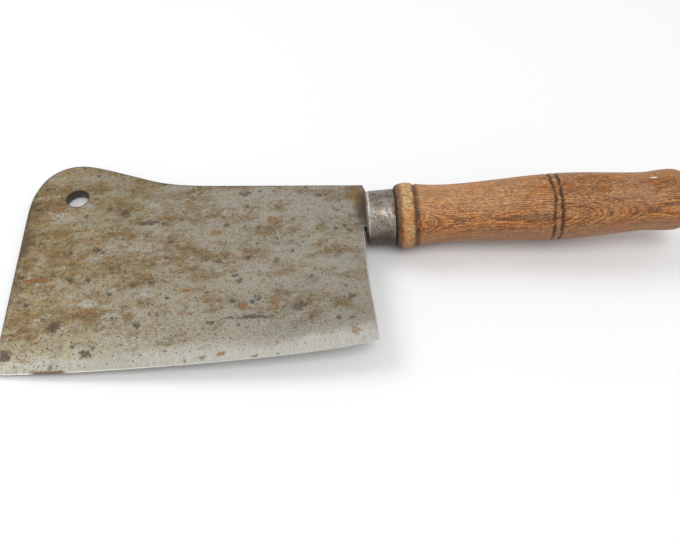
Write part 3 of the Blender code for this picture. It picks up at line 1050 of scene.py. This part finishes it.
def blade_normal(n, sheet, patch, pits):
    """Fine scratches along the blade, patina a little proud, and pits cut in."""
    scratches = n.noise(n.scaled(sheet, (0.06, 1, 1)), 1500, 3, 0.6)
    height = n.less(n.product(n.noise(sheet, 1300, 5, 0.65), 0.6), n.product(pits, 0.9))
    height = n.total(height, n.product(scratches, 0.25), n.product(patch, 0.8))
    return n.bump(height, 0.00014, 0.6)


def blade_material():
    n = Nodes("old_blade_steel")
    sheet = blade_sheet(n)
    warped = n.warped(sheet, 240, 0.0032)
    above = n.attribute("above_edge")
    cloud = n.noise(n.scaled(warped, (0.5, 1, 1)), 40)
    colour, patina, patch = add_patina(n, warped, bare_steel(n, warped, cloud))

    ragged_push = n.push(n.noise(warped, 560, 7, 0.72), 0.62)
    rust = blade_stain(n, "rust_mark", ragged_push, 0.34, 0.82)
    dark = blade_stain(n, "dark_mark", ragged_push, 0.25, 0.84)
    rust_colour = n.mix(n.span(n.noise(sheet, 1100, 3), 0.4, 0.6), RUST_DEEP, RUST_PALE)
    colour = n.cover(colour, rust, 0.88, rust_colour)
    colour, root = add_end_dirt(n, warped, colour)

    low_right = n.product(n.span(n.x, -0.110, -0.030), n.span(n.y, -0.030, -0.055))
    dull = n.product(low_right, n.span(cloud, 0.40, 0.60, 0.15, 0.45))
    colour = n.mix(dull, colour, STEEL_DULL)
    colour = n.cover(colour, n.spots(warped, 240, 0.15, 0.32, (7, 3, 6)), 0.80, RUST_SPOT)
    colour = n.speckled(colour, n.noise(sheet, 1700, 5, 0.75), 0.44, 1.20)
    pits = blade_pits(n, sheet, warped, low_right, dark)
    pit_colour = n.mix(n.span(n.noise(sheet, 90, 3), 0.44, 0.56), PIT_GREY, PIT_BROWN)
    colour = n.cover(colour, pits, 0.86, pit_colour)
    colour, clean = add_honed_band(n, sheet, warped, colour, above, pits, rust)
    colour = add_rims(n, colour, above)

    dirty = n.largest(pits, rust, root)
    metal = n.less(0.70, n.product(dirty, 0.6))
    patina_matt = n.span(patina, 0.475, 0.575, 0.0, 0.10)
    roughness = n.total(0.46, patina_matt, n.product(dirty, 0.2))
    roughness = n.less(roughness, n.product(clean, 0.10))
    return n.finish(colour, roughness, metal, blade_normal(n, sheet, patch, pits))


# -------- the tarnished steel
TARNISH_PALE = linear(174, 170, 166)
TARNISH = linear(156, 145, 132)
TARNISH_DARK = linear(128, 112, 96)
UNDERSIDE_SHADE = linear(68, 57, 46)
TARNISH_PIT = linear(72, 54, 42)
LIP_HIGHLIGHT = linear(216, 214, 208)


def tarnished_material():
    """For the ferrule, the washer and the tang's peened head."""
    n = Nodes("tarnished_steel")
    warped = n.warped(n.place, 300, 0.0016)
    cloud = n.noise(warped, 150, 6, 0.65)
    colour = n.mix(n.span(cloud, 0.36, 0.60), TARNISH_DARK, TARNISH)
    pale = n.noise(n.scaled(warped, (1, 1, 1), (4, 4, 1)), 210, 6, 0.66)
    colour = n.tint(colour, pale, 0.47, 0.66, 0.85, TARNISH_PALE)
    large = n.spots(warped, 300, 0.50, 0.50, (2, 7, 5), "3D")
    tiny = n.spots(n.place, 900, 0.52, 0.55, (5, 1, 8), "3D")
    pits = n.largest(n.product(large, 0.8), n.product(tiny, 0.6))
    colour = n.cover(colour, pits, 0.85, TARNISH_PIT)
    # painted shade: darker towards the underside of the ferrule, washer and peened head
    colour = n.tint(colour, n.z, 0.007, -0.002, 0.85, UNDERSIDE_SHADE)

    # a painted highlight: a bright line along the ferrule's front shoulder
    patchy = n.span(n.noise(n.place, 420), 0.32, 0.54, 0.35, 1.0)
    brightening = n.product(n.span(n.x, -0.0135, -0.0131), n.span(n.x, -0.0121, -0.0125), patchy,
                       n.span(n.z, -0.003, 0.004), 0.62)
    colour = n.mix(brightening, colour, LIP_HIGHLIGHT)

    grit = n.noise(n.place, 1600, 5, 0.7)
    colour = n.speckled(colour, grit, 0.56, 1.34)
    roughness = n.total(n.span(cloud, 0.3, 0.7, 0.50, 0.40), n.product(pits, 0.25))
    turning_lines = n.noise(n.scaled(n.place, (1, 0.08, 0.08)), 2600, 2)
    height = n.less(n.total(n.product(grit, 0.6), n.product(turning_lines, 0.3)), pits)
    metal = n.less(0.84, n.product(n.largest(pits, brightening), 0.6))
    return n.finish(colour, roughness, metal, n.bump(height, 0.00010, 0.5))


# -------- the handle's wood
RING_NORMAL = (0.0, -0.86, 0.50)      # across the growth layers of the plank it was turned from
RING_TILT = -0.05                     # how fast the layers drift along the handle
RINGS_PER_METRE = 3300

WOOD_DARK = linear(138, 80, 36)
WOOD_PALE = linear(192, 124, 62)
WOOD_WARM = linear(180, 94, 30)
WOOD_GOLD = linear(200, 122, 52)
LATE_LAYER = linear(102, 56, 26)
EARLY_LAYER = linear(222, 152, 86)
DIRT_AND_SHADE_UNDER = linear(104, 78, 56)
DIRT_AND_LIGHT_WAIST = linear(188, 146, 108)
DIRT_AND_LIGHT_BUTT = linear(162, 126, 94)
GRAIN_DARK = linear(86, 50, 26)
GRAIN_PALE = linear(218, 160, 98)
DASH_DARK = linear(72, 42, 22)
DASH_PALE = linear(232, 170, 104)
LOW_SHADE_GREY = linear(154, 124, 98)
TOP_SHEEN = linear(214, 172, 126)
BEAD_DARK = linear(138, 94, 54)
BEAD_PALE = linear(230, 192, 138)
BEAD_ORANGE = linear(196, 126, 52)
END_DARK = linear(142, 104, 68)
END_PALE = linear(214, 180, 138)
END_DIRT = linear(112, 84, 58)
GROOVE_BROWN = linear(96, 60, 34)
FRONT_BROWN = linear(92, 62, 38)
SHADE_BLACK = linear(56, 42, 34)
OLD_PAINT = linear(246, 243, 236)


def growth_layers(n):
    """Growth layers cut by the turned surface, and how far across them each place lies."""
    slow = n.push(n.noise(n.scaled(n.place, (0.3, 1, 1)), 60, 2), 0.00025)
    quick = n.push(n.noise(n.scaled(n.place, (0.5, 1, 1)), 520, 4, 0.6), 0.000035)
    across = n.total(n.product(n.y, RING_NORMAL[1]), n.product(n.z, RING_NORMAL[2]))
    depth = n.total(across, n.product(n.x, RING_TILT), slow, quick)
    layers = n.add("ShaderNodeTexNoise", noise_dimensions="1D")
    n.feed(layers.inputs["W"], n.product(depth, RINGS_PER_METRE))
    layers.inputs["Scale"].default_value = 1.0
    layers.inputs["Detail"].default_value = 2
    return layers.outputs["Fac"], across


def wood_figure(n):
    """Warm wood with the flames that growth layers draw where the handle narrows."""
    layers, across = growth_layers(n)
    bands = n.noise(n.scaled(n.place, (0.10, 1, 1)), 300, 5, 0.65)
    colour = n.mix(n.span(bands, 0.38, 0.62), WOOD_DARK, WOOD_PALE)
    warmth = n.noise(n.scaled(n.place, (0.40, 1, 1), (2, 5, 1)), 95, 6, 0.62)
    warmth = n.total(warmth, n.span(across, 0.006, 0.014, 0.0, 0.05))
    colour = n.tint(colour, warmth, 0.50, 0.62, 0.72, WOOD_WARM)
    near_bead = n.product(n.span(n.x, 0.036, 0.022), n.span(across, 0.0085, 0.0125))
    colour = n.cover(colour, near_bead, 0.55, WOOD_GOLD)
    late = n.product(n.span(layers, 0.45, 0.58), n.span(across, 0.004, 0.012, 0.45, 0.85))
    colour = n.mix(late, colour, LATE_LAYER)
    early = n.product(n.span(layers, 0.44, 0.36), n.span(across, 0.009, 0.014))
    return n.cover(colour, early, 0.32, EARLY_LAYER), across


def add_dirt_light_and_shade(n, colour, dirt_noise):
    """Dirt lies grey over the upper side, thicker towards the butt, and dark underneath; the paler grey
    on top is painted light and the dark underneath is painted shade.
    """
    top_side = n.product(n.span(n.z, 0.002, 0.014), n.span(n.x, 0.03, 0.095, 0.25, 1.0))
    under_side = n.span(n.z, -0.004, -0.012, 0.0, 0.8)
    dirt_light_and_shade = n.product(n.span(dirt_noise, 0.44, 0.57), n.total(0.2, n.largest(top_side, under_side)))
    top_dirt_and_light = n.mix(n.span(n.x, 0.045, 0.085), DIRT_AND_LIGHT_WAIST, DIRT_AND_LIGHT_BUTT)
    return n.cover(colour, dirt_light_and_shade, 0.56, n.mix(n.span(n.z, 0.0, 0.010), DIRT_AND_SHADE_UNDER, top_dirt_and_light))


def add_grain(n, colour):
    """Grain lines and short dashes, dark and pale. They are fainter low down and by the butt."""
    calm = n.product(n.span(n.z, -0.003, 0.007, 0.50, 1.0), n.span(n.x, 0.090, 0.120, 1.0, 0.75))
    lines = n.noise(n.scaled(n.place, (0.10, 1, 1), (4, 1, 1)), 1600, 5, 0.72)
    colour = n.mix(n.product(n.span(lines, 0.51, 0.64, 0.0, 0.78), calm), colour, GRAIN_DARK)
    colour = n.mix(n.product(n.span(lines, 0.47, 0.36, 0.0, 0.65), calm), colour, GRAIN_PALE)
    dash_noise = n.noise(n.scaled(n.place, (0.27, 1, 1), (7, 7, 2)), 2000, 5, 0.74)
    dashes = n.product(n.span(dash_noise, 0.53, 0.63), calm)
    colour = n.cover(colour, dashes, 0.80, DASH_DARK)
    pale_dashes = n.product(n.span(dash_noise, 0.45, 0.37, 0.0, 0.75), calm)
    return n.mix(pale_dashes, colour, DASH_PALE), lines, dashes


def add_worn_bead(n, colour, across):
    """The worn bead: paler, with short bruises across the grain."""
    on_bead = n.product(n.span(n.x, 0.0094, 0.0086), n.span(n.x, 0.0024, 0.0044))
    bruises = n.noise(n.scaled(n.place, (0.35, 1, 1), (3, 3, 9)), 1500, 5, 0.80)
    bead_colour = n.mix(n.span(bruises, 0.39, 0.60), BEAD_DARK, BEAD_PALE)
    orange = n.total(n.noise(n.place, 190, 4, 0.6), n.span(across, 0.0120, 0.0155, 0.0, 0.09))
    bead_colour = n.tint(bead_colour, orange, 0.58, 0.65, 0.75, BEAD_ORANGE)
    # the pale bead colour is weaker towards the underside, as painted shade on the bead's lower side
    worn = n.product(on_bead, n.span(n.z, -0.006, 0.005, 0.20, 0.9))
    return n.mix(worn, colour, bead_colour), n.product(bruises, on_bead)


def add_end_grain(n, colour, dirt_noise):
    """Bare end grain round the butt."""
    end_push = n.push(n.noise(n.place, 240, 5, 0.6), 0.0012)
    at_end = n.span(n.total(n.x, end_push), 0.1402, 0.1428)
    end_colour = n.mix(n.span(n.noise(n.place, 900, 5, 0.7), 0.35, 0.65), END_DARK, END_PALE)
    end_colour = n.tint(end_colour, dirt_noise, 0.46, 0.62, 0.7, END_DIRT)
    return n.cover(colour, at_end, 0.80, end_colour)


def add_groove_and_ferrule_shade(n, colour):
    """Painted shade: brown and black in the cut rings, and dark brown to black against the ferrule."""
    ragged = n.push(n.noise(n.place, 900, 6, 0.75), 0.55)
    groove_shade = n.attribute("groove_shade")
    black = n.span(n.total(groove_shade, n.product(ragged, n.span(groove_shade, 0.0, 0.3))), 0.50, 0.85)
    black = n.product(black, n.span(n.x, 0.012, 0.016, 0.70, 1.0))
    colour = n.tint(colour, groove_shade, 0.02, 0.40, 0.45, GROOVE_BROWN)
    # painted shade on the bead's front, black in the gap against the ferrule
    from_front = n.total(n.x, n.product(ragged, 0.0020))
    colour = n.tint(colour, from_front, 0.0042, 0.0020, 0.78, FRONT_BROWN)
    dark = n.largest(black, n.span(from_front, 0.0016, 0.0004))
    return n.cover(colour, dark, 0.86, SHADE_BLACK), dark


def wood_material():
    n = Nodes("old_beech")
    dirt_noise = n.noise(n.scaled(n.place, (0.5, 1, 1), (8, 2, 4)), 120, 7, 0.66)
    colour, across = wood_figure(n)
    colour = add_dirt_light_and_shade(n, colour, dirt_noise)
    colour, lines, dashes = add_grain(n, colour)

    # greyer low down as painted shade, and a painted sheen along the top of the waist
    colour = n.tint(colour, n.z, 0.0065, -0.003, 0.40, LOW_SHADE_GREY)
    sheen = n.product(n.span(n.z, 0.006, 0.0150), n.span(n.x, 0.085, 0.035, 0.04, 0.30))
    colour = n.mix(sheen, colour, TOP_SHEEN)

    colour, bead_bruises = add_worn_bead(n, colour, across)
    colour = add_end_grain(n, colour, dirt_noise)
    colour, dark = add_groove_and_ferrule_shade(n, colour)
    colour = n.tint(colour, n.attribute("chip"), 0.25, 0.40, 1.0, OLD_PAINT)
    colour = n.speckled(colour, n.noise(n.scaled(n.place, (0.35, 1, 1)), 2000, 5, 0.8), 0.50, 1.40)

    roughness = n.total(n.span(dirt_noise, 0.35, 0.65, 0.44, 0.60), n.product(dark, 0.2))
    height = n.total(n.product(lines, -0.7), n.product(dashes, -0.5), bead_bruises)
    n.shader.inputs["Specular IOR Level"].default_value = 0.32
    return n.finish(colour, roughness, 0.0, n.bump(height, 0.00018, 0.7))


def pitch_material():
    """For the filler round the tang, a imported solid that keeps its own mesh."""
    n = Nodes("cutler_pitch")
    place = n.add("ShaderNodeTexCoord").outputs["Object"]
    lumps = n.noise(place, 500)
    colour = n.mix(lumps, linear(28, 20, 15), linear(58, 42, 30))
    return n.finish(colour, n.span(lumps, 0.3, 0.7, 0.55, 0.8), 0.0, n.bump(lumps, 0.0002, 0.6))


# -------- camera, floor and light
CAMERA_PLACE = (-0.0392, -0.2912, 0.3387)
CAMERA_TURN = 5.90               # degrees to the right of +Y
CAMERA_DOWN = 49.56              # degrees below the horizon
CAMERA_ROLL = 3.70
CAMERA_LENS = 47.65              # millimetres
FILM_WIDTH = 36                  # millimetres
SKY_COLOUR = (0.97, 0.985, 1.0, 1)
SKY_STRENGTH = 0.56
LIGHTS = (                       # name, place, diameter
    ("back_window", (-1.25, 0.75, 1.45), 1.1),
    ("overhead", (0.30, -0.80, 1.65), 1.2),
)
LIGHT_TARGET = (0, 0, 0.02)
LIGHT_WATTS = 14


def add_camera():
    camera = bpy.data.cameras.new("camera")
    camera.sensor_width = FILM_WIDTH
    camera.lens = CAMERA_LENS
    camera.clip_start = 0.01
    camera.clip_end = 20
    place = bpy.data.objects.new("camera", camera)
    bpy.context.scene.collection.objects.link(place)
    turn = Matrix.Rotation(math.radians(-CAMERA_TURN), 4, "Z")
    tilt = Matrix.Rotation(math.radians(90 - CAMERA_DOWN), 4, "X")
    roll = Matrix.Rotation(math.radians(CAMERA_ROLL), 4, "Z")
    place.matrix_world = Matrix.Translation(CAMERA_PLACE) @ turn @ tilt @ roll
    bpy.context.scene.camera = place


def add_floor():
    bm = bmesh.new()
    bmesh.ops.create_grid(bm, x_segments=4, y_segments=4, size=3.0)
    floor = bpy.data.objects.new("floor", mesh_from_bmesh("floor", bm))
    bpy.context.scene.collection.objects.link(floor)
    n = Nodes("pale_floor")
    n.shader.inputs["Base Color"].default_value = (0.92, 0.92, 0.92, 1)
    n.shader.inputs["Roughness"].default_value = 0.9
    n.shader.inputs["Specular IOR Level"].default_value = 0.1
    floor.data.materials.append(n.material)


def add_area_light(name, place, size):
    light = bpy.data.lights.new(name, "AREA")
    light.shape = "DISK"
    light.size = size
    light.energy = LIGHT_WATTS
    thing = bpy.data.objects.new(name, light)
    bpy.context.scene.collection.objects.link(thing)
    thing.location = place
    aim = Vector(LIGHT_TARGET) - Vector(place)
    thing.rotation_euler = aim.to_track_quat("-Z", "Y").to_euler()


def add_sky():
    world = bpy.data.worlds.new("studio")
    world.use_nodes = True
    sky = world.node_tree.nodes["Background"]
    sky.inputs["Color"].default_value = SKY_COLOUR
    sky.inputs["Strength"].default_value = SKY_STRENGTH
    bpy.context.scene.world = world


def main():
    scene = bpy.context.scene
    scene.view_settings.view_transform = "Standard"
    scene.view_settings.look = "None"
    add_camera()
    add_floor()
    add_sky()
    for name, place, size in LIGHTS:
        add_area_light(name, place, size)
    add_blade_plate(blade_material())
    dark_steel = tarnished_material()
    add_peened_head(dark_steel)
    add_ferrule(dark_steel)
    add_washer(dark_steel)
    add_handle(wood_material())
    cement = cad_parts["tang_cement"]
    cement.data.materials.clear()
    cement.data.materials.append(pitch_material())


main()
